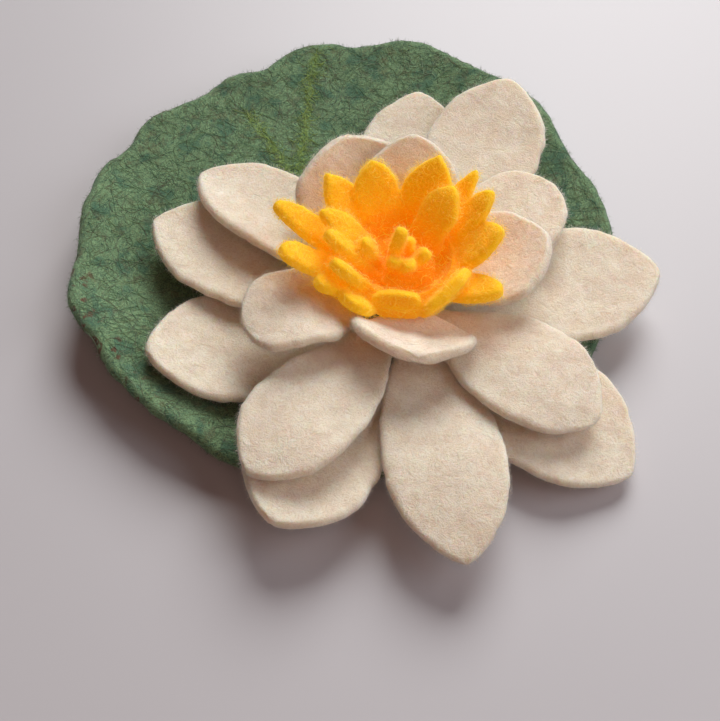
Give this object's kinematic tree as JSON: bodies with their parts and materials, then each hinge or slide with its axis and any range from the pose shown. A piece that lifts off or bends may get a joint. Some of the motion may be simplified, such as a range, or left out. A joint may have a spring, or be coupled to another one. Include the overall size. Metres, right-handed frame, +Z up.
{
  "type": "felt water lily flower",
  "caption": "Handmade felt water lily: layered cream petals with pointed tips around golden cut-felt fringes, lying on a green lily pad with a wavy, raised rim.",
  "frame": {"origin": "the point under the flower's axis on the pad's flat underside, on the table", "axes": "+Z up the flower's axis, +X to the right and +Y away from the viewer of the picture"},
  "size_m": [0.1235, 0.1356, 0.0333],
  "materials": {
    "green_felt": "mottled wool felt",
    "cream_felt": "soft wool felt",
    "golden_felt": "fuzzy wool felt"
  },
  "bodies": {
    "root": {"lily_pad": "green_felt", "outer_petal_1": "cream_felt", "outer_petal_2": "cream_felt", "outer_petal_3": "cream_felt", "outer_petal_4": "cream_felt", "outer_petal_5": "cream_felt", "outer_petal_6": "cream_felt", "outer_petal_7": "cream_felt", "outer_petal_8": "cream_felt", "middle_petal_1": "cream_felt", "middle_petal_2": "cream_felt", "middle_petal_3": "cream_felt", "middle_petal_4": "cream_felt", "inner_petal_1": "cream_felt", "inner_petal_2": "cream_felt", "inner_petal_3": "cream_felt", "inner_petal_4": "cream_felt", "inner_petal_5": "cream_felt", "stamen_fringe_outer": "golden_felt", "stamen_fringe_inner": "golden_felt", "stamen_heart": "golden_felt"}
  },
  "joints": []
}
